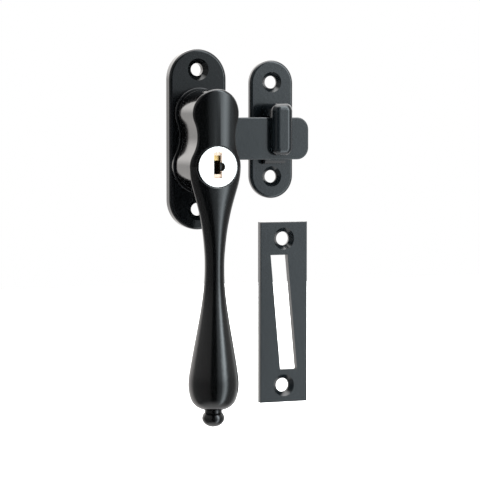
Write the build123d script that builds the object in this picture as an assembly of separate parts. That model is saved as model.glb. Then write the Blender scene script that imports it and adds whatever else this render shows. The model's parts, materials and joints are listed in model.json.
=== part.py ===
from build123d import *
from math import degrees, hypot, radians, sqrt, tan
import os

os.makedirs("parts", exist_ok=True)

# A locking casement fastener with its hook plate and its mortice plate, in millimetres.
# Pieces are drawn with x to the right, y up and z out from the window, and turned upright
# on export, so z below becomes -Y and y becomes +Z. The origin lies on the back of the
# backplate, halfway between its two screw holes.

# Backplate
PLATE_H = 71.0
PLATE_W = 23.6
PLATE_T = 4.4
PLATE_EDGE = 1.2
PLATE_SCREW_PITCH = PLATE_H - 16.0
SCREW_HOLE_R = 2.5
SCREW_SINK_R = 4.3

# Two-lobed hub of the handle and the boss under it: pivot in the upper lobe, lock in the lower
LOBES_APART = 20.4
PIVOT_Y = LOBES_APART / 2
LOCK_Y = -LOBES_APART / 2
HUB_TOP_R = 9.4
HUB_LOW_R = 10.4
WAIST_R = 15.7
HUB_CREST = 27.45
BARREL_R = 20.0
HUB_EDGE = 1.0
# centres of the hollow sides, and half the width of the hub between them
TO_TOP = HUB_TOP_R + WAIST_R
TO_LOW = HUB_LOW_R + WAIST_R
WAIST_Y = (TO_LOW**2 - TO_TOP**2) / (2 * LOBES_APART)
WAIST_X = sqrt(TO_TOP**2 - (PIVOT_Y - WAIST_Y) ** 2)
WAIST_HALF = WAIST_X - WAIST_R
BOSS_MARGIN = 0.8
BOSS_TOP = PLATE_T + 2.4
BOSS_EDGE = 0.5
RUN_GAP = 0.3
HUB_BACK = BOSS_TOP + RUN_GAP

# Pivot
FIT = 0.05
JOURNAL_R = 4.0
BUSH_WALL = 1.0
THRUST_T = 1.0
HEAD_R = JOURNAL_R + 2.4
HEAD_T = 1.6
HEAD_SINK = 0.4
HEAD_SLOT = 1.6
DISH_T = 0.4
DISH_RISE = 0.3
FLAT_T = 0.5
POCKET_R = HEAD_R + 0.8
POCKET_DEPTH = HEAD_SINK + HEAD_T + DISH_T + DISH_RISE + FLAT_T + FIT
THREAD_R = 2.5
THREAD_END = 17.0

# Stop pin and the quarter-turn groove it runs in
STOP_PIN_R = 1.2
STOP_ORBIT = JOURNAL_R + 3.4
STOP_GROOVE_R = STOP_PIN_R + 0.15
STOP_PIN_DEPTH = 2.3
STOP_GROOVE_DEPTH = 2.6
TURN = 90.0

# Tongue
TONGUE_T = 4.0
TONGUE_TOP = 8.7
TONGUE_BOTTOM = -8.0
TONGUE_TIP_R = 4.8
TONGUE_EDGE = 0.5
HUB_WALL = 1.5
TONGUE_FRONT = HUB_BACK + TONGUE_T
SEAT_GAP = 0.1
PLATE_SCREW_R = 1.25
PLATE_SCREW_HEAD_R = 2.35
PLATE_SCREW_LEN = 7.0
PLATE_SCREW_EDGE = 0.55
# beside the stop pin, the left one just inside the edge of the tongue's foot
PLATE_SCREW_LEFT = -(WAIST_HALF - HUB_WALL - PLATE_SCREW_HEAD_R - PLATE_SCREW_EDGE)
PLATE_SCREW_RIGHT = 4.4
PLATE_SCREWS = (
    (PLATE_SCREW_LEFT, PIVOT_Y - STOP_ORBIT - 3.2),
    (PLATE_SCREW_RIGHT, PIVOT_Y - STOP_ORBIT - 1.8),
)

# Grip, measured down from the lock axis and leaning in towards the window
GRIP_LEN = 101.2
GRIP_AXIS = 24.0
GRIP_LEAN = 1.5
GRIP_NECK_R = 3.81
GRIP_SHOULDER_DEPTH = HUB_CREST - GRIP_AXIS
BULB_R = 9.88
FINIAL_NECK_R = 3.4
FINIAL_R = 4.4
FINIAL_HALF = 3.5
# share of the way from lock to neck, share of the widening left there, and extra depth
SHOULDER = (
    (0.0, 0.985, 0.1), (0.2, 0.82, 0.3), (0.4, 0.475, 0.1), (0.6, 0.215, 0.0), (0.8, 0.06, 0.0), (1.0, 0.0, 0.0)
)
NECK_AT = 0.386
# share of the grip's length, and share of the swell from neck to bulb
SWELL = (
    (0.386, 0.0), (0.538, 0.213), (0.69, 0.65), (0.785, 0.918), (0.83, 1.0), (0.875, 0.92), (0.907, 0.7)
)
BULB_END = 0.933

# Lock cylinder, sized from its plug
PLUG_R = 5.0
HOUSING_WALL = 1.7
HOUSING_R = PLUG_R + HOUSING_WALL
FLANGE_STEP = 1.1
FACE_R = HOUSING_R + FLANGE_STEP
FACE_OUT = 27.1
FACE_GAP = 0.35
BORE_EDGE = 0.25
FLANGE_T = 2.4
HOUSING_BACK = 17.5
FLAT_OFF = HOUSING_R - 0.6
PLUG_HEAD_R = FACE_R - 1.1
PLUG_HEAD_T = 1.3
CLIP_T = 0.6
CLIP_BITE = 0.6
CAVITY_R = HOUSING_R + 1.6
CAVITY_FRONT = HOUSING_BACK + 1.3
KEYWAY_W = 2.9
KEYWAY_UP = PLUG_R - 0.6
KEYWAY_DOWN = PLUG_R - 2.15
POCKET_W = 3.3
POCKET_H = 2 * PLUG_R
POCKET_RISE = 0.6
POCKET_D = 0.8
SIDE_WARD_R = 1.75
SIDE_WARD_X = 1.2
SIDE_WARD_D = 1.7
KEYWAY_END = HOUSING_BACK + 0.4

# Wafers and their springs
WAFER_COUNT = 4
WAFER_PITCH = 1.7
WAFER_T = 0.8
WAFER_W = PLUG_R - 0.1
WAFER_FIRST = FACE_OUT - 2.5
WAFER_GAP = 0.05
WINDOW_UP = KEYWAY_UP - 1.95
WINDOW_DOWN = KEYWAY_DOWN + 0.15
WINDOW_W = KEYWAY_W + 0.2
LUG_H = 0.9
SPRING_R = 0.43
SPRING_WIRE_R = 0.12
SPRING_LEN = 2.6
SPRING_TURNS = 5
SPRING_X = PLUG_R - 1.95
SPRING_HOLE_R = 0.62
LUG_REACH = SPRING_X + 0.55 - WAFER_W / 2

# Lock bolt, thrown 3.5 mm by a quarter turn of the plug through a spiral slot
THROW = 3.5
BOLT_R = 2.6
BOLT_FLAT = 2.2
BOLT_TIP = HUB_BACK + 0.25
DRIVE_PIN_R = 0.75
DRIVE_PIN_OUT = 15.6
DRIVE_SLOT_R = DRIVE_PIN_R + 0.05
BOLT_HEAD = DRIVE_PIN_OUT + 1.2
SLEEVE_BORE_R = BOLT_R + 0.1
SLEEVE_BACK = TONGUE_FRONT + 0.3
BOLT_HOLE_R = BOLT_R + 0.3
BOLT_HOLE_FLOOR = BOLT_TIP - THROW - 0.5

# Hook plate
HOOK_X = 31.75
HOOK_Y = 3.9
HOOK_H = 55.0
HOOK_W = 18.2
HOOK_T = 2.5
HOOK_EDGE = 1.1
HOOK_SCREW_PITCH = 37.6
HOOK_SINK_R = 4.05
FINGER_W = 8.6
FINGER_GAP = 0.3
FINGER_BACK = TONGUE_FRONT + FINGER_GAP
FINGER_OUT = 15.9
FINGER_TOP = TONGUE_TOP + 5.6
FINGER_BOTTOM = TONGUE_BOTTOM + 1.7
FINGER_CORNER = 3.1
FINGER_ROUND = 2.7
ROOT_UNDER = TONGUE_TOP + 0.5
PAD_OUT = BOSS_TOP
PAD_BELOW = 0.5
PAD_BEVEL = 1.1
PAD_DRAFT = 0.3

# Mortice plate
MORTICE_X = 36.9
MORTICE_Y = -69.5
MORTICE_H = 72.7
MORTICE_W = 20.1
MORTICE_T = 2.8
MORTICE_EDGE = 0.25
MORTICE_SCREW_PITCH = 59.2
MORTICE_HOLE_R = 2.75
MORTICE_SINK_R = 4.4
SLOT_W = 7.25
SLOT_LEN = 46.2
SLOT_SLANT = 5.2


def disc(radius, z0, z1, x=0.0, y=0.0):
    return Pos(x, y, (z0 + z1) / 2) * Cylinder(radius, abs(z1 - z0))


def block(x0, x1, y0, y1, z0, z1):
    return Pos((x0 + x1) / 2, (y0 + y1) / 2, (z0 + z1) / 2) * Box(x1 - x0, y1 - y0, z1 - z0)


def ring(outer, inner, z0, z1, x=0.0, y=0.0):
    return disc(outer, z0, z1, x, y) - disc(inner, z0 - 1, z1 + 1, x, y)


def slab(sketch, z0, z1):
    return extrude(Pos(0, 0, z0) * sketch, z1 - z0)


def sink(hole_r, sink_r, front, back, x, y):
    # a countersunk hole with a 90 degree cone, wide end at the front face
    depth = sink_r - hole_r
    cone = Pos(x, y, front - depth / 2) * Cone(hole_r, sink_r, depth)
    return disc(hole_r, back - 1, front + 1, x, y) + cone


def waisted(inset=0.0):
    # outline of the two lobes joined by hollow sides, moved in by the inset (out if negative)
    top = HUB_TOP_R - inset
    low = HUB_LOW_R - inset
    middle = WAIST_HALF - inset
    upper = (WAIST_X * top / TO_TOP, PIVOT_Y + (WAIST_Y - PIVOT_Y) * top / TO_TOP)
    lower = (WAIST_X * low / TO_LOW, LOCK_Y + (WAIST_Y - LOCK_Y) * low / TO_LOW)
    edges = [
        ThreePointArc(upper, (0, PIVOT_Y + top), (-upper[0], upper[1])),
        ThreePointArc((-upper[0], upper[1]), (-middle, WAIST_Y), (-lower[0], lower[1])),
        ThreePointArc((-lower[0], lower[1]), (0, LOCK_Y - low), lower),
        ThreePointArc(lower, (middle, WAIST_Y), upper),
    ]
    return make_face(edges)


def rounded_plate(height, width, thick, edge):
    plate = slab(SlotOverall(height, width, rotation=90), 0, thick)
    return fillet(plate.faces().sort_by(Axis.Z)[-1].edges(), edge)


def stop_groove():
    # quarter turn about the pivot, from straight down to straight left, with room at both ends
    spare = degrees((STOP_GROOVE_R - STOP_PIN_R) / STOP_ORBIT)
    z0 = BOSS_TOP - STOP_GROOVE_DEPTH
    band = ring(STOP_ORBIT + STOP_GROOVE_R, STOP_ORBIT - STOP_GROOVE_R, z0, BOSS_TOP + 1, 0, PIVOT_Y)
    reach = 2 * STOP_ORBIT
    quadrant = block(-reach, 0, PIVOT_Y - reach, PIVOT_Y, z0 - 1, BOSS_TOP + 2)
    start = disc(STOP_GROOVE_R, z0, BOSS_TOP + 1, 0, PIVOT_Y - STOP_ORBIT)
    end = disc(STOP_GROOVE_R, z0, BOSS_TOP + 1, -STOP_ORBIT, PIVOT_Y)
    return (band & quadrant) + start + end


def backplate():
    plate = rounded_plate(PLATE_H, PLATE_W, PLATE_T, PLATE_EDGE)
    boss = slab(waisted(-BOSS_MARGIN), 0.5, BOSS_TOP)
    boss = fillet(boss.faces().sort_by(Axis.Z)[-1].edges(), BOSS_EDGE)
    plate += boss
    for y in (-PLATE_SCREW_PITCH / 2, PLATE_SCREW_PITCH / 2):
        plate -= sink(SCREW_HOLE_R, SCREW_SINK_R, PLATE_T, 0, 0, y)
    plate -= disc(POCKET_R, -1, POCKET_DEPTH, 0, PIVOT_Y)
    plate -= disc(JOURNAL_R + FIT + BUSH_WALL, 0, BOSS_TOP + 1, 0, PIVOT_Y)
    plate -= disc(thrust_r() + FIT, HUB_BACK - THRUST_T - FIT, BOSS_TOP + 1, 0, PIVOT_Y)
    plate -= stop_groove()
    plate -= disc(BOLT_HOLE_R, BOLT_HOLE_FLOOR, BOSS_TOP + 1, 0, LOCK_Y)
    return plate


def thrust_r():
    return JOURNAL_R + FIT + BUSH_WALL + 0.35


def pivot_bush():
    inner = JOURNAL_R + FIT
    return ring(inner + BUSH_WALL, inner, POCKET_DEPTH, HUB_BACK - THRUST_T - FIT, 0, PIVOT_Y)


def thrust_washer():
    return ring(thrust_r(), JOURNAL_R + 0.3, HUB_BACK - THRUST_T - FIT, HUB_BACK - FIT, 0, PIVOT_Y)


def flat_washer():
    return ring(HEAD_R + 0.3, JOURNAL_R + 0.3, POCKET_DEPTH - FLAT_T, POCKET_DEPTH, 0, PIVOT_Y)


def dished_washer():
    # a shallow cone: inner edge against the bolt head, outer edge towards the flat washer
    z0 = HEAD_SINK + HEAD_T
    z1 = z0 + DISH_RISE
    inner = JOURNAL_R + 0.2
    outer = HEAD_R
    section = Polyline(
        (inner, z0), (inner, z0 + DISH_T), (outer, z1 + DISH_T), (outer, z1), (inner, z0)
    )
    profile = Rot(90, 0, 0) * make_face(section)
    return Pos(0, PIVOT_Y, 0) * revolve(profile, Axis.Z, 360)


def pivot_bolt():
    z = HEAD_SINK + HEAD_T
    bolt = disc(HEAD_R, HEAD_SINK, z, 0, PIVOT_Y)
    bolt += disc(JOURNAL_R, z, HUB_BACK, 0, PIVOT_Y)
    bolt += disc(THREAD_R, HUB_BACK, THREAD_END, 0, PIVOT_Y)
    reach = HEAD_R + 1
    half = HEAD_SLOT / 2
    slot = block(-reach, reach, PIVOT_Y - half, PIVOT_Y + half, -1, HEAD_SINK + 0.9)
    return bolt - slot


def stop_pin():
    return disc(STOP_PIN_R, BOSS_TOP - STOP_PIN_DEPTH, TONGUE_FRONT, 0, PIVOT_Y - STOP_ORBIT)


def tongue_reach():
    return HOOK_X + HOOK_W / 2 + 3.25


def tongue_outline(grow=0.0):
    # two-lobed foot let into the hub, and the tongue running out to the right
    foot = waisted(HUB_WALL - grow)
    height = TONGUE_TOP - TONGUE_BOTTOM + 2 * grow
    middle = (TONGUE_TOP + TONGUE_BOTTOM) / 2
    reach = tongue_reach() + grow
    blade = Pos(reach / 2, middle) * Rectangle(reach, height)
    tip = blade.vertices().group_by(Axis.X)[-1]
    return foot + fillet(tip, TONGUE_TIP_R + grow)


def tongue():
    plate = slab(tongue_outline(), HUB_BACK, TONGUE_FRONT)
    free = HUB_LOW_R + 4
    rim = plate.edges().filter_by(lambda e: e.center().X > free and e.length > 1)
    rim = rim.filter_by(lambda e: abs(e.tangent_at(0.5).Z) < 0.1)
    plate = fillet(rim, TONGUE_EDGE)
    plate -= disc(THREAD_R + 0.05, 0, TONGUE_FRONT + 1, 0, PIVOT_Y)
    plate -= disc(STOP_PIN_R, 0, TONGUE_FRONT + 1, 0, PIVOT_Y - STOP_ORBIT)
    for x, y in PLATE_SCREWS:
        depth = PLATE_SCREW_HEAD_R - PLATE_SCREW_R
        plate -= Pos(x, y, HUB_BACK + depth / 2) * Cone(PLATE_SCREW_HEAD_R, PLATE_SCREW_R, depth)
        plate -= disc(PLATE_SCREW_R + 0.1, 0, TONGUE_FRONT + 1, x, y)
    guide = disc(BOLT_R + FIT, 0, TONGUE_FRONT + 1, 0, LOCK_Y)
    flats = BOLT_FLAT + FIT
    guide &= block(-BOLT_R - 1, BOLT_R + 1, LOCK_Y - flats, LOCK_Y + flats, 0, TONGUE_FRONT + 1)
    return plate - guide


def tongue_screw(x, y):
    depth = PLATE_SCREW_HEAD_R - PLATE_SCREW_R
    screw = Pos(x, y, HUB_BACK + depth / 2) * Cone(PLATE_SCREW_HEAD_R, PLATE_SCREW_R, depth)
    screw += disc(PLATE_SCREW_R, HUB_BACK, HUB_BACK + PLATE_SCREW_LEN, x, y)
    slot = block(x - 3, x + 3, y - 0.35, y + 0.35, HUB_BACK - 1, HUB_BACK + 0.6)
    return screw - slot


def tongue_screws():
    return Compound([tongue_screw(x, y).solid() for x, y in PLATE_SCREWS])


def grip():
    # upper part: ovals from the width of the lock lobe down to the round neck
    neck_y = -GRIP_LEN * NECK_AT
    ovals = []
    for share, wide, deep in SHOULDER:
        half_w = GRIP_NECK_R + (HUB_LOW_R - GRIP_NECK_R) * wide
        half_d = GRIP_NECK_R + (GRIP_SHOULDER_DEPTH - GRIP_NECK_R) * (1 - share) + deep
        plane = Plane(origin=(0, neck_y * share, 0), x_dir=(1, 0, 0), z_dir=(0, 1, 0))
        ovals.append(plane * Ellipse(half_w, half_d))
    upper = loft(ovals)
    # lower part: turned neck, bulb and finial
    points = [
        (GRIP_NECK_R + (BULB_R - GRIP_NECK_R) * swell, -GRIP_LEN * share)
        for share, swell in SWELL
    ]
    end = (0, -GRIP_LEN * BULB_END)
    root = (FINIAL_NECK_R, end[1])
    side = Spline(*points, root, tangents=((0, -1), (-1, -0.15)))
    turned = revolve(make_face([side, Polyline(root, end, (0, neck_y), points[0])]), Axis.Y, 360)
    ball_y = FINIAL_HALF - GRIP_LEN
    collar = Pos(FINIAL_NECK_R / 2, (ball_y + end[1] + 1) / 2) * Rectangle(FINIAL_NECK_R, end[1] + 1 - ball_y)
    ball = Pos(0, ball_y) * Ellipse(FINIAL_R, FINIAL_HALF)
    finial = (ball & Pos(FINIAL_R, ball_y) * Rectangle(2 * FINIAL_R, 4 * FINIAL_R)) + collar
    turned += revolve(finial, Axis.Y, 360)
    return Pos(0, LOCK_Y, GRIP_AXIS) * Rot(GRIP_LEAN, 0, 0) * (upper + turned)


def handle():
    hub = slab(waisted(), HUB_BACK, HUB_CREST + 1)
    barrel = Pos(0, 0, HUB_CREST - BARREL_R) * Rot(90, 0, 0) * Cylinder(BARREL_R, 80)
    hub &= barrel
    hub = fillet(hub.edges().filter_by(lambda e: e.center().Z > HUB_BACK + 12), HUB_EDGE)
    body = hub + grip()
    body -= slab(tongue_outline(SEAT_GAP), HUB_BACK - 1, TONGUE_FRONT)
    body -= disc(THREAD_R, 0, THREAD_END + 0.6, 0, PIVOT_Y)
    for x, y in PLATE_SCREWS:
        body -= disc(PLATE_SCREW_R, 0, HUB_BACK + PLATE_SCREW_LEN + 0.5, x, y)
    body -= disc(CAVITY_R, 0, CAVITY_FRONT, 0, LOCK_Y)
    bore = disc(HOUSING_R + FIT, 0, HUB_CREST + 5, 0, LOCK_Y)
    flat = FLAT_OFF + FIT
    bore &= block(-20, 20, LOCK_Y - flat, LOCK_Y + 20, 0, HUB_CREST + 5)
    body -= bore
    recess_r = FACE_R + FACE_GAP
    seat = FACE_OUT - FLANGE_T
    body -= disc(recess_r, seat, HUB_CREST + 5, 0, LOCK_Y)
    # ease the edge where the recess for the lock's flange breaks through the curved front
    rim = body.edges().filter_by(lambda e: abs(hypot((e @ 0.5).X, (e @ 0.5).Y - LOCK_Y) - recess_r) < 0.01)
    rim = rim.filter_by(lambda e: e.center().Z > seat + 0.3 and abs((e % 0.5).Z) < 0.9)
    return fillet(rim, BORE_EDGE)


def lock_housing():
    front = FACE_OUT
    shoulder = FACE_OUT - FLANGE_T
    body = disc(HOUSING_R, HOUSING_BACK, shoulder, 0, LOCK_Y)
    body &= block(-20, 20, LOCK_Y - FLAT_OFF, LOCK_Y + 20, 0, HUB_CREST)
    body += disc(FACE_R, shoulder, front, 0, LOCK_Y)
    body -= disc(PLUG_R + FIT, 0, front + 1, 0, LOCK_Y)
    body -= disc(PLUG_HEAD_R + FIT, front - PLUG_HEAD_T - FIT, front + 1, 0, LOCK_Y)
    z0 = HOUSING_BACK + CLIP_BITE
    body -= ring(HOUSING_R + 1, HOUSING_R - CLIP_BITE, z0, z0 + CLIP_T + FIT, 0, LOCK_Y)
    # grooves above and below the bore that the wafers drop into
    half = WAFER_W / 2 + 0.2
    reach = PLUG_R + 0.6
    body -= block(-half, half, LOCK_Y - reach, LOCK_Y + reach, 0, front - PLUG_HEAD_T - 0.6)
    return body


def open_ring(outer, inner, z0, z1):
    # a ring cut through on one side so it can be sprung into its groove
    gap = 0.35 * inner
    opening = block(-gap, gap, LOCK_Y - outer - 1, LOCK_Y, z0 - 1, z1 + 1)
    return ring(outer, inner, z0, z1, 0, LOCK_Y) - opening


def housing_clip():
    z0 = HOUSING_BACK + CLIP_BITE
    return open_ring(CAVITY_R - 0.4, HOUSING_R - CLIP_BITE, z0, z0 + CLIP_T)


def plug_clip():
    z1 = HOUSING_BACK - FIT
    return open_ring(PLUG_R + 1.3, plug_groove_r(), z1 - CLIP_T + FIT, z1)


def plug_groove_r():
    return PLUG_R - 0.7


def spiral_slot(turned):
    # path of the drive pin past the turning sleeve: one quarter turn while it runs back by the throw,
    # with the far end of the slot at the pin before the plug has turned
    reach = SLEEVE_BORE_R - 0.6
    middle = (SLEEVE_BORE_R + PLUG_R) / 2
    deep = PLUG_R + 1 - reach
    path = Helix(pitch=4 * THROW, height=THROW, radius=middle, lefthand=True)
    start = Plane(origin=path @ 0, x_dir=(1, 0, 0), z_dir=path % 0)
    cross = start * Pos(reach + deep / 2 - middle, 0) * Rectangle(deep, 2 * DRIVE_SLOT_R)
    cut = sweep(cross, path=path, is_frenet=True)
    for angle, rise in ((0, 0), (-TURN, THROW)):
        end = Pos(reach + deep / 2, 0, rise) * Rot(0, 90, 0) * Cylinder(DRIVE_SLOT_R, deep)
        cut += Rot(0, 0, angle) * end
    return Rot(0, 0, turned) * cut


def wafer_places():
    return [WAFER_FIRST - WAFER_PITCH * n for n in range(WAFER_COUNT)]


def lock_plug():
    head = FACE_OUT - PLUG_HEAD_T
    plug = disc(PLUG_HEAD_R, head, FACE_OUT)
    plug += disc(PLUG_R, SLEEVE_BACK, head)
    plug -= ring(PLUG_R + 1, plug_groove_r(), HOUSING_BACK - CLIP_T - FIT, HOUSING_BACK)
    plug -= disc(SLEEVE_BORE_R, 0, BOLT_HEAD + 0.1)
    low = POCKET_RISE - POCKET_H / 2
    plug -= block(-POCKET_W / 2, POCKET_W / 2, low, low + POCKET_H, FACE_OUT - POCKET_D, FACE_OUT + 1)
    plug -= disc(SIDE_WARD_R, FACE_OUT - SIDE_WARD_D, FACE_OUT + 1, SIDE_WARD_X, 0)
    plug -= block(-KEYWAY_W / 2, KEYWAY_W / 2, -KEYWAY_DOWN, KEYWAY_UP, KEYWAY_END, FACE_OUT)
    for z in wafer_places():
        half = WAFER_T / 2 + WAFER_GAP
        wide = WAFER_W / 2 + WAFER_GAP
        plug -= block(-wide, wide, -PLUG_R - 1, PLUG_R + 1, z - half, z + half)
        plug -= block(0, wide + LUG_REACH, -0.5, LUG_H + 0.5, z - half, z + half)
        plug -= Pos(SPRING_X, -SPRING_LEN / 2, z) * Rot(90, 0, 0) * Cylinder(SPRING_HOLE_R, SPRING_LEN)
    slots = Pos(0, 0, DRIVE_PIN_OUT - THROW) * (spiral_slot(TURN) + spiral_slot(TURN + 180))
    return Pos(0, LOCK_Y, 0) * (plug - slots)


def wafer(z):
    half = WAFER_T / 2
    plate = block(-WAFER_W / 2, WAFER_W / 2, -PLUG_R, PLUG_R, z - half, z + half)
    plate &= disc(PLUG_R - 0.03, z - 1, z + 1)
    plate += block(0, WAFER_W / 2 + LUG_REACH, 0, LUG_H, z - half, z + half)
    plate -= block(-WINDOW_W / 2, WINDOW_W / 2, -WINDOW_DOWN, WINDOW_UP, z - 1, z + 1)
    return Pos(0, LOCK_Y, 0) * plate


def lock_wafers():
    return Compound([wafer(z).solid() for z in wafer_places()])


def wafer_spring(z):
    turn = SPRING_LEN - 2 * SPRING_WIRE_R
    coil = Helix(pitch=turn / SPRING_TURNS, height=turn, radius=SPRING_R)
    start = Plane(origin=coil @ 0, z_dir=coil % 0)
    wire = sweep(start * Circle(SPRING_WIRE_R), path=coil, is_frenet=True)
    return Pos(SPRING_X, LOCK_Y - SPRING_LEN + SPRING_WIRE_R, z) * Rot(-90, 0, 0) * wire


def wafer_springs():
    return Compound([wafer_spring(z).solid() for z in wafer_places()])


def lock_bolt():
    bolt = disc(BOLT_R, BOLT_TIP, BOLT_HEAD)
    bolt = chamfer(bolt.edges().sort_by(Axis.Z)[0], 0.4)
    guided = TONGUE_FRONT + THROW + 0.2
    bolt &= block(-BOLT_R, BOLT_R, -BOLT_FLAT, BOLT_FLAT, 0, guided) + block(-5, 5, -5, 5, guided, 30)
    bolt -= Pos(0, 0, DRIVE_PIN_OUT) * Rot(0, 90, 0) * Cylinder(DRIVE_PIN_R, 4 * BOLT_R)
    return Pos(0, LOCK_Y, 0) * bolt


def drive_pin():
    pin = Rot(0, 90, 0) * Cylinder(DRIVE_PIN_R, 2 * PLUG_R - 0.4)
    return Pos(0, LOCK_Y, DRIVE_PIN_OUT) * pin


def hook_plate():
    plate = rounded_plate(HOOK_H, HOOK_W, HOOK_T, HOOK_EDGE)
    for y in (-HOOK_SCREW_PITCH / 2, HOOK_SCREW_PITCH / 2):
        plate -= sink(SCREW_HOLE_R, HOOK_SINK_R, HOOK_T, 0, 0, y)
    plate = Pos(HOOK_X, HOOK_Y, 0) * plate
    x0 = HOOK_X - FINGER_W / 2
    x1 = HOOK_X + FINGER_W / 2
    # hook: a block rounded over round its face, with the passage for the tongue cut from below
    outline = Pos(HOOK_X, (FINGER_TOP + FINGER_BOTTOM) / 2) * RectangleRounded(
        FINGER_W, FINGER_TOP - FINGER_BOTTOM, FINGER_CORNER
    )
    hook = slab(outline, HOOK_T - 1, FINGER_OUT)
    face = hook.faces().sort_by(Axis.Z)[-1]
    hook = fillet(face.edges(), FINGER_ROUND)
    hook -= block(x0 - 1, x1 + 1, FINGER_BOTTOM - 5, ROOT_UNDER, HOOK_T - 2, FINGER_BACK)
    # pad that the tongue slides on, bevelled at its lower end so the tongue rides up on to it
    low = TONGUE_BOTTOM - PAD_BELOW
    foot = low - PAD_BEVEL - PAD_DRAFT
    top = ROOT_UNDER + 1
    side = Polyline(
        (top, HOOK_T - 1), (top, PAD_OUT), (low, PAD_OUT), (low - PAD_BEVEL, PAD_OUT - PAD_BEVEL),
        (foot, HOOK_T), (foot, HOOK_T - 1), (top, HOOK_T - 1),
    )
    pad = extrude(Plane(origin=(x0, 0, 0), x_dir=(0, 1, 0), z_dir=(1, 0, 0)) * make_face(side), FINGER_W)
    return plate + hook + pad


def mortice_plate():
    plate = slab(Rectangle(MORTICE_W, MORTICE_H), 0, MORTICE_T)
    plate = chamfer(plate.faces().sort_by(Axis.Z)[-1].edges(), MORTICE_EDGE)
    for y in (-MORTICE_SCREW_PITCH / 2, MORTICE_SCREW_PITCH / 2):
        plate -= sink(MORTICE_HOLE_R, MORTICE_SINK_R, MORTICE_T, 0, 0, y)
    # the slot keeps level ends while its sides lean over to the left
    lean = SLOT_LEN / 2 * tan(radians(SLOT_SLANT))
    half = SLOT_W / 2
    top = SLOT_LEN / 2
    corners = ((-half - lean, top), (half - lean, top), (half + lean, -top), (-half + lean, -top))
    slot = make_face(Polyline(*corners, corners[0]))
    plate -= slab(slot, -1, MORTICE_T + 1)
    return Pos(MORTICE_X, MORTICE_Y, 0) * plate


PIECES = {
    "backplate": backplate,
    "pivot_bush": pivot_bush,
    "thrust_washer": thrust_washer,
    "flat_washer": flat_washer,
    "dished_washer": dished_washer,
    "pivot_bolt": pivot_bolt,
    "stop_pin": stop_pin,
    "tongue": tongue,
    "tongue_screws": tongue_screws,
    "handle": handle,
    "lock_housing": lock_housing,
    "housing_clip": housing_clip,
    "lock_plug": lock_plug,
    "plug_clip": plug_clip,
    "lock_wafers": lock_wafers,
    "wafer_springs": wafer_springs,
    "lock_bolt": lock_bolt,
    "drive_pin": drive_pin,
    "hook_plate": hook_plate,
    "mortice_plate": mortice_plate,
}

for name, make in PIECES.items():
    export_step(Rot(90, 0, 0) * make(), f"parts/{name}.step")
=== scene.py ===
import json
import math

import bpy
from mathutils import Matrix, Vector


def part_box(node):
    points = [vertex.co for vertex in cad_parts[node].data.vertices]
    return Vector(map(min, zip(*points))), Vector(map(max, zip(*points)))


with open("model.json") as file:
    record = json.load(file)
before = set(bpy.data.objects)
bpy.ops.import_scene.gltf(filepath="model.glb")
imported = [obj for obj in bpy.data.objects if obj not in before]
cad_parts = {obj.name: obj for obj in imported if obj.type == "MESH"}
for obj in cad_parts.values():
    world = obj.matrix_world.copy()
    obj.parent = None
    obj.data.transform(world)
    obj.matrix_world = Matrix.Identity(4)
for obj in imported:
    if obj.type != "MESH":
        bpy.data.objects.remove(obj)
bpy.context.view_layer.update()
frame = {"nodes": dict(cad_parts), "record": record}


def startMaterial(name):
    material = bpy.data.materials.new(name)
    material.use_nodes = True
    tree = material.node_tree
    return material, tree, tree.nodes["Principled BSDF"]


def blendColours(tree, share, under, over):
    # under where the share is 0, over where it is 1, each a colour or a socket
    mix = addNode(tree, "ShaderNodeMix", data_type="RGBA")
    tree.links.new(share, mix.inputs["Factor"])
    for side, colour in (("A", under), ("B", over)):
        if isinstance(colour, tuple):
            mix.inputs[side].default_value = (*colour, 1)
        else:
            tree.links.new(colour, mix.inputs[side])
    return mix.outputs["Result"]


def addNode(tree, kind, **settings):
    node = tree.nodes.new(kind)
    for key, value in settings.items():
        setattr(node, key, value)
    return node


def objectPoint(tree, centre=(0, 0, 0), stretch=(1, 1, 1)):
    # place on the piece in metres, moved so that centre is the origin
    source = addNode(tree, "ShaderNodeTexCoord")
    shift = addNode(tree, "ShaderNodeMapping", vector_type="TEXTURE")
    shift.inputs["Location"].default_value = centre
    shift.inputs["Scale"].default_value = stretch
    tree.links.new(source.outputs["Object"], shift.inputs["Vector"])
    return shift.outputs["Vector"]


def speckle(tree, point, scale, detail=2.0, roughness=0.5):
    noise = addNode(tree, "ShaderNodeTexNoise")
    noise.inputs["Scale"].default_value = scale
    noise.inputs["Detail"].default_value = detail
    noise.inputs["Roughness"].default_value = roughness
    tree.links.new(point, noise.inputs["Vector"])
    return noise.outputs["Fac"]


def spread(tree, value, low, high, fromLow=0.3, fromHigh=0.7):
    # a 0 to 1 pattern turned into a range of its own
    node = addNode(tree, "ShaderNodeMapRange")
    node.inputs["From Min"].default_value = fromLow
    node.inputs["From Max"].default_value = fromHigh
    node.inputs["To Min"].default_value = low
    node.inputs["To Max"].default_value = high
    tree.links.new(value, node.inputs["Value"])
    return node.outputs["Result"]


def tint(tree, value, colours):
    # a 0 to 1 pattern turned into colours, each given with its place
    ramp = addNode(tree, "ShaderNodeValToRGB")
    stops = ramp.color_ramp.elements
    while len(stops) < len(colours):
        stops.new(0.5)
    for stop, (place, colour) in zip(stops, colours):
        stop.position = place
        stop.color = (*colour, 1)
    tree.links.new(value, ramp.inputs["Fac"])
    return ramp.outputs["Color"]


def relief(tree, height, distance, under=None):
    # height pattern turned into a surface normal, on top of an earlier one if there is one
    bump = addNode(tree, "ShaderNodeBump")
    bump.inputs["Distance"].default_value = distance
    tree.links.new(height, bump.inputs["Height"])
    if under is not None:
        tree.links.new(under, bump.inputs["Normal"])
    return bump.outputs["Normal"]


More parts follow.
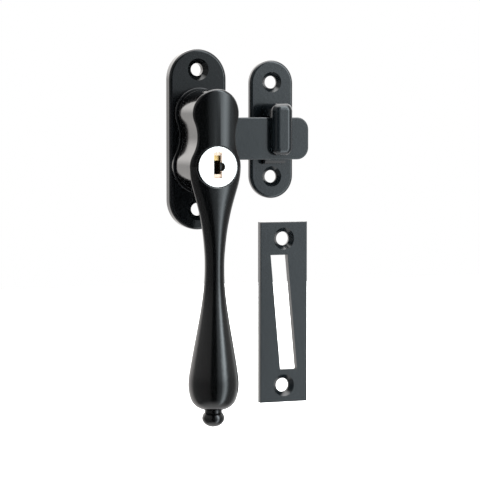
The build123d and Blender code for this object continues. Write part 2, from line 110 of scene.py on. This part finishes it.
plateCoat = {
    "dark": (0.0030, 0.0042, 0.0052),
    "light": (0.0060, 0.0082, 0.0098),
    "smooth": 0.12,
    "rough": 0.19,
    "patches": 100.0,
    "peel": 900.0,
    "peelDepth": 0.000012,
    "grain": 5200.0,
    "grainDepth": 0.000003,
    "mirror": 1.50,
}
# the backplate's coat is a darker, glossier copy of that of the keep plates and the tongue, with a weaker
# mirror: painted shade for the hub's shadow on the backplate
shadedBackplateLook = {
    "dark": (0.0016, 0.0019, 0.0022),
    "light": (0.0032, 0.0038, 0.0043),
    "smooth": 0.09,
    "rough": 0.15,
    "patches": 700.0 / 9,
    "peel": 700.0,
    "peelDepth": 0.000009,
    "grain": 5200.0,
    "grainDepth": 0.000002,
    "mirror": 1.38,
}


def powderCoat(name, look):
    # baked powder: an orange-peel skin, a finer grain over it and faint patches of gloss
    material, tree, shader = startMaterial(name)
    point = objectPoint(tree)
    patches = speckle(tree, point, look["patches"], 4.0, 0.6)
    peel = speckle(tree, point, look["peel"], 1.5)
    grain = speckle(tree, point, look["grain"], 2.0, 0.6)
    colour = tint(tree, grain, [(0.3, look["dark"]), (0.72, look["light"])])
    tree.links.new(colour, shader.inputs["Base Color"])
    tree.links.new(spread(tree, patches, look["smooth"], look["rough"]), shader.inputs["Roughness"])
    skin = relief(tree, peel, look["peelDepth"])
    tree.links.new(relief(tree, grain, look["grainDepth"], under=skin), shader.inputs["Normal"])
    shader.inputs["IOR"].default_value = look["mirror"]
    return material


handleCoat = {
    "dark": (0.0010, 0.0011, 0.0012),
    "light": (0.0018, 0.0020, 0.0022),
    "smooth": 0.10,
    "rough": 0.15,
    "patches": 420.0 / 9,
    "peel": 420.0,
    "peelDepth": 0.000005,
    "grain": 4200.0,
    "grainDepth": 0.0000012,
    "mirror": 1.50,
}

chromeLook = {
    "colour": (0.96, 0.93, 0.90),
    "pocket": (0.62, 0.50, 0.40),
    # the near-black keyway colour is painted shade, for the depths of the key slot and its side recess
    "keywayShade": (0.018, 0.015, 0.013),
    "smooth": 0.24,
    "rough": 0.32,
    "plateDepth": 0.00015,
    "pocketDepth": 0.0009,
    "shadeDepth": 0.0014,
    "plugRadius": 0.0060,
    "pocketHalf": 0.00170,
    "edge": 0.00002,
    "haze": 650.0,
    "turning": 5200.0,
    "turningDepth": 0.0000004,
}


def turnedChrome(name, look):
    # plated face with faint turning rings about the lock's axis, bare metal inside the key slot, and
    # painted shade further in
    material, tree, shader = startMaterial(name)
    low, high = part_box("lock_plug")
    point = objectPoint(tree, ((low[0] + high[0]) / 2, low[1], (low[2] + high[2]) / 2))
    haze = speckle(tree, point, look["haze"], 3.0, 0.6)
    rings = addNode(tree, "ShaderNodeTexWave", wave_type="RINGS", rings_direction="Y")
    rings.inputs["Scale"].default_value = look["turning"]
    rings.inputs["Distortion"].default_value = 0.4
    tree.links.new(point, rings.inputs["Vector"])
    split = addNode(tree, "ShaderNodeSeparateXYZ")
    tree.links.new(point, split.inputs["Vector"])
    # going in from the face: plate, then a cream pocket, then painted shade that darkens the key slot's
    # depths
    deep = spread(tree, split.outputs["Y"], 0, 1, 0, look["shadeDepth"])
    plated = look["plateDepth"] / look["shadeDepth"]
    pocketed = look["pocketDepth"] / look["shadeDepth"]
    inside = tint(tree, deep, [
        (plated * 0.5, look["colour"]),
        (plated, look["pocket"]),
        (pocketed, look["pocket"]),
        (1.0, look["keywayShade"]),
    ])
    # painted shade: the recess beside the key slot is dark right up to its edge
    asideShade = spread(tree, split.outputs["X"], 0, 1, look["pocketHalf"], look["pocketHalf"] + look["edge"])
    inside = blendColours(tree, asideShade, inside, look["keywayShade"])
    # bare only within the plug and below its plated face, and dull there
    flat = addNode(tree, "ShaderNodeVectorMath", operation="MULTIPLY")
    flat.inputs[1].default_value = (1, 0, 1)
    tree.links.new(point, flat.inputs[0])
    away = addNode(tree, "ShaderNodeVectorMath", operation="LENGTH")
    tree.links.new(flat.outputs["Vector"], away.inputs[0])
    bare = addNode(tree, "ShaderNodeMath", operation="MULTIPLY")
    within = spread(tree, away.outputs["Value"], 1, 0, look["plugRadius"], look["plugRadius"] * 1.01)
    tree.links.new(within, bare.inputs[0])
    tree.links.new(spread(tree, split.outputs["Y"], 0, 1, 0, look["plateDepth"]), bare.inputs[1])
    colour = blendColours(tree, bare.outputs[0], look["colour"], inside)
    tree.links.new(colour, shader.inputs["Base Color"])
    tree.links.new(spread(tree, haze, look["smooth"], look["rough"]), shader.inputs["Roughness"])
    tree.links.new(relief(tree, rings.outputs["Fac"], look["turningDepth"]), shader.inputs["Normal"])
    tree.links.new(spread(tree, bare.outputs[0], 1, 0, 0, 1), shader.inputs["Metallic"])
    return material


# dark and light colour, smoothest and roughest, and whether it is metal
metals = {
    "wafer_brass": ((0.50, 0.32, 0.12), (0.78, 0.56, 0.25), 0.22, 0.38, 1),
    "bush_bronze": ((0.30, 0.17, 0.08), (0.52, 0.32, 0.16), 0.35, 0.55, 1),
    "plated_steel": ((0.46, 0.47, 0.47), (0.66, 0.67, 0.66), 0.24, 0.42, 1),
    "spring_steel": ((0.10, 0.11, 0.14), (0.22, 0.23, 0.27), 0.20, 0.34, 1),
    "washer_nylon": ((0.66, 0.64, 0.57), (0.80, 0.78, 0.71), 0.42, 0.55, 0),
}
stamping = {"cloud": 900.0, "streak": 6000.0, "stretch": (1, 1, 12), "tooth": 0.000002}


def stampedMetal(name, look, pattern):
    # small parts: clouded colour, streaks from rolling and a fine tooth
    dark, light, smooth, rough, metallic = look
    material, tree, shader = startMaterial(name)
    cloud = speckle(tree, objectPoint(tree), pattern["cloud"], 4.0, 0.6)
    streaks = speckle(tree, objectPoint(tree, stretch=pattern["stretch"]), pattern["streak"])
    tree.links.new(tint(tree, cloud, [(0.3, dark), (0.7, light)]), shader.inputs["Base Color"])
    tree.links.new(spread(tree, streaks, smooth, rough), shader.inputs["Roughness"])
    tree.links.new(relief(tree, streaks, pattern["tooth"]), shader.inputs["Normal"])
    shader.inputs["Metallic"].default_value = metallic
    return material


finishes = {
    "plate_black": powderCoat("satinPowderCoat", plateCoat),
    "handle_black": powderCoat("glossHandleCoat", handleCoat),
    "lock_chrome": turnedChrome("turnedChrome", chromeLook),
}
for slotName, look in metals.items():
    finishes[slotName] = stampedMetal(slotName + "Finish", look, stamping)
slotOf = {part["node"]: part["material_slot"] for part in frame["record"]["subparts"]}
# the backplate gets its own darker coat, painted shade for the shadow the hub casts on it
ownFinish = {"backplate": powderCoat("shadedBackplateCoat", shadedBackplateLook)}
for nodeName, part in frame["nodes"].items():
    part.data.materials.clear()
    part.data.materials.append(ownFinish.get(nodeName, finishes[slotOf[nodeName]]))
print("finishes made:", len(finishes) + len(ownFinish))


floorLook = {"height": -0.1360, "half": 0.9, "colour": (0.86, 0.86, 0.86), "rough": 0.8, "glow": 0.45}


def makeFloor(look):
    half = look["half"]
    corners = [(-half, -half), (half, -half), (half, half), (-half, half)]
    mesh = bpy.data.meshes.new("floor")
    mesh.from_pydata([(x, y, look["height"]) for x, y in corners], [], [(0, 1, 2, 3)])
    floor = bpy.data.objects.new("floor", mesh)
    bpy.context.scene.collection.objects.link(floor)
    material, tree, shader = startMaterial("paleFloor")
    shader.inputs["Base Color"].default_value = (*look["colour"], 1)
    shader.inputs["Roughness"].default_value = look["rough"]
    shader.inputs["Emission Color"].default_value = (1, 1, 1, 1)
    shader.inputs["Emission Strength"].default_value = look["glow"]
    mesh.materials.append(material)
    floor.visible_glossy = False  # it lights the object but isn't mirrored in it


# the studio all the way round: degrees to the right of straight out, brightness, and how cool it is
studioLight = [
    (-180, 1.40, -0.6), (-140, 1.30, -0.6), (-122, 0.35, 0), (-60, 0.24, 0), (-38, 0.20, 0), (-29, 0.01, 0),
    (-5, 0.01, 0), (4, 0.40, 0.8), (12, 0.60, 0.8), (18, 0.72, 0.8), (20, 1.20, 0.8), (24, 2.00, 0.8),
    (30, 3.20, 0.8), (37, 4.90, 0.8), (42, 3.60, 0.8), (50, 0.90, 0.8), (60, 0.40, 0), (90, 0.40, 0),
    (110, 1.00, 0), (130, 1.35, 0), (180, 1.40, -0.6),
]
studioPeak = 6.0
studioTints = {"cool": (0.84, 0.96, 1.02), "warm": (1.03, 0.98, 0.94)}
# the sides get brighter a little above level, and overhead and underneath are an even white
studioCaps = {"over": 6.0, "under": 1.5, "from": 0.72, "full": 0.96}
studioLift = {"from": 0.0, "full": 0.14, "gain": 1.8}


def studioColour(level, coolness, peak):
    tone = studioTints["cool" if coolness > 0 else "warm"]
    share = abs(coolness)
    return tuple(level / peak * (1 + share * (part - 1)) for part in tone)


def makeStudio(levels, peak, caps, lift):
    world = bpy.data.worlds.new("studio")
    bpy.context.scene.world = world
    world.use_nodes = True
    tree = world.node_tree
    background = tree.nodes["Background"]
    source = addNode(tree, "ShaderNodeTexCoord")
    split = addNode(tree, "ShaderNodeSeparateXYZ")
    tree.links.new(source.outputs["Generated"], split.inputs["Vector"])
    outward = addNode(tree, "ShaderNodeMath", operation="MULTIPLY")
    outward.inputs[1].default_value = -1
    tree.links.new(split.outputs["Y"], outward.inputs[0])
    turn = addNode(tree, "ShaderNodeMath", operation="ARCTAN2")
    tree.links.new(split.outputs["X"], turn.inputs[0])
    tree.links.new(outward.outputs[0], turn.inputs[1])
    aroundRoom = spread(tree, turn.outputs[0], 0, 1, -math.pi, math.pi)
    stops = [((angle + 180) / 360, studioColour(level, cool, peak)) for angle, level, cool in levels]
    sides = tint(tree, aroundRoom, stops)
    strength = addNode(tree, "ShaderNodeVectorMath", operation="SCALE")
    rising = spread(tree, split.outputs["Z"], peak, peak * lift["gain"], lift["from"], lift["full"])
    tree.links.new(rising, strength.inputs["Scale"])
    tree.links.new(sides, strength.inputs[0])
    lit = strength.outputs[0]
    for side, level in ((1, caps["over"]), (-1, caps["under"])):
        share = spread(tree, split.outputs["Z"], 0, 1, side * caps["from"], side * caps["full"])
        lit = blendColours(tree, share, lit, (level, level, level))
    # what is seen directly behind the object is plain white
    seen = addNode(tree, "ShaderNodeLightPath")
    backdrop = blendColours(tree, seen.outputs["Is Camera Ray"], lit, (1.0, 1.0, 1.0))
    tree.links.new(backdrop, background.inputs["Color"])


cameraPlace = {"left": 20.5, "up": 3.5, "distance": 0.839, "lookAt": (0.01912, 0, -0.04024), "lens": 157.5}


def makeCamera(place):
    left = math.radians(place["left"])
    up = math.radians(place["up"])
    ahead = Vector((math.sin(left) * math.cos(up), math.cos(left) * math.cos(up), -math.sin(up)))
    data = bpy.data.cameras.new("camera")
    data.lens = place["lens"]
    data.sensor_width = 36
    data.clip_start = 0.01
    camera = bpy.data.objects.new("camera", data)
    camera.location = Vector(place["lookAt"]) - ahead * place["distance"]
    camera.rotation_euler = ahead.to_track_quat("-Z", "Y").to_euler()
    bpy.context.scene.collection.objects.link(camera)
    bpy.context.scene.camera = camera


makeFloor(floorLook)
makeStudio(studioLight, studioPeak, studioCaps, studioLift)
makeCamera(cameraPlace)
bpy.context.scene.view_settings.view_transform = "Standard"
print("floor, light and camera placed")
